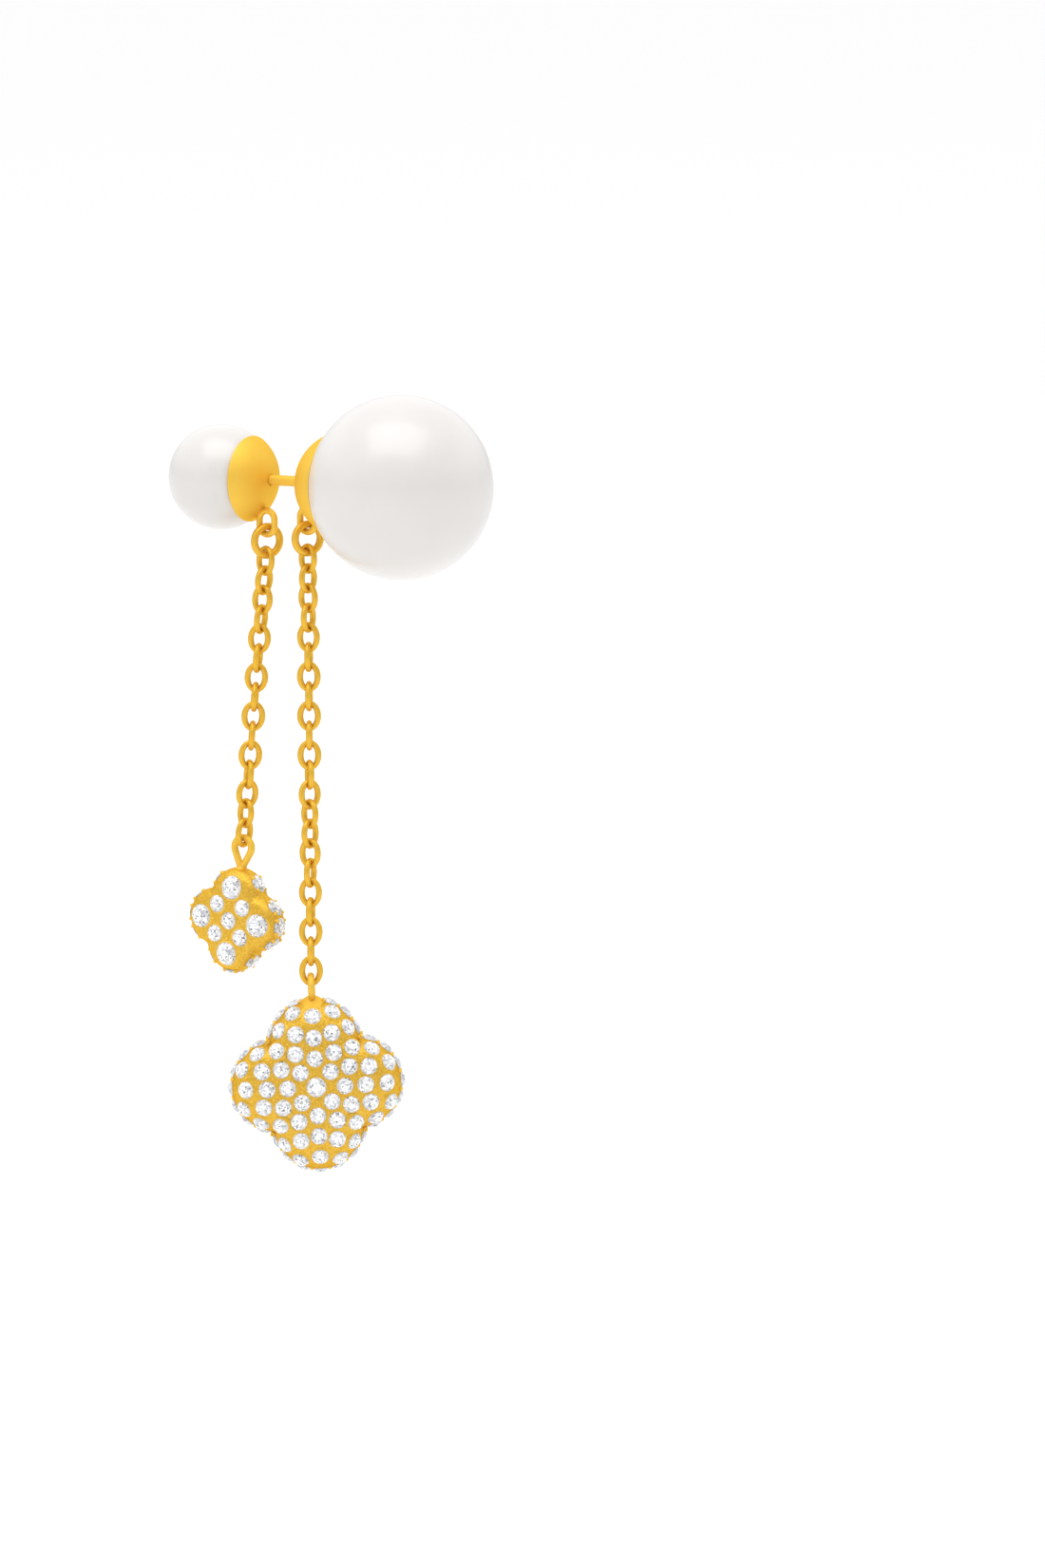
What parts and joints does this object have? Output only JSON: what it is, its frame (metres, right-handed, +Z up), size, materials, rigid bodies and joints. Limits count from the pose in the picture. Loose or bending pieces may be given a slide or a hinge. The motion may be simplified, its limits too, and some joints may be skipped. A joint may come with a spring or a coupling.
{
  "type": "ear jacket earring",
  "caption": "Ear jacket earring: a pearl on each side of the lobe on one post, with hanging cable chains that end in puffed, stone-set lobed drops.",
  "frame": {"origin": "middle of the bare stretch of the ear post, where the ear lobe sits", "axes": "+Y along the post towards the small pearl behind the ear, +Z up, the large pearl faces -Y"},
  "size_m": [0.014, 0.0273, 0.0596],
  "materials": {
    "gold_plate": "polished yellow gold plate on brass",
    "pearl": "lustrous white nacre-like coating",
    "crystal": "clear faceted stones with bright backs"
  },
  "bodies": {
    "front": {"front_pearl": "pearl", "front_setting": "gold_plate", "front_ring": "gold_plate", "front_chain": "gold_plate"},
    "front_drop": {"large_clover": "gold_plate", "large_centre_stone_front": "crystal", "large_centre_stone_rear": "crystal", "large_field_front": "crystal", "large_field_rear": "crystal", "large_edge_row": "crystal"},
    "back": {"back_pearl": "pearl", "back_setting": "gold_plate", "back_ring": "gold_plate", "back_chain": "gold_plate"},
    "back_drop": {"small_clover": "gold_plate", "small_lobe_stone_front_1": "crystal", "small_lobe_stone_front_2": "crystal", "small_lobe_stone_front_3": "crystal", "small_lobe_stone_front_4": "crystal", "small_lobe_stone_rear_1": "crystal", "small_lobe_stone_rear_2": "crystal", "small_lobe_stone_rear_3": "crystal", "small_lobe_stone_rear_4": "crystal", "small_field_front": "crystal", "small_field_rear": "crystal", "small_edge_row": "crystal"}
  },
  "joints": [
    {"name": "back_slide", "type": "slide", "parent": "front", "child": "back", "axis": [0, 1, 0], "range_m": [0, 0.016]},
    {"name": "front_drop_swing", "type": "hinge", "parent": "front", "child": "front_drop", "pos_m": [0, -0.00212, -0.03821], "axis": [0.5446, -0.8387, 0], "range_deg": [-60, 60]},
    {"name": "back_drop_swing", "type": "hinge", "parent": "back", "child": "back_drop", "pos_m": [0, 0.00406, -0.02802], "axis": [1, 0, 0], "range_deg": [-8, 60]}
  ]
}
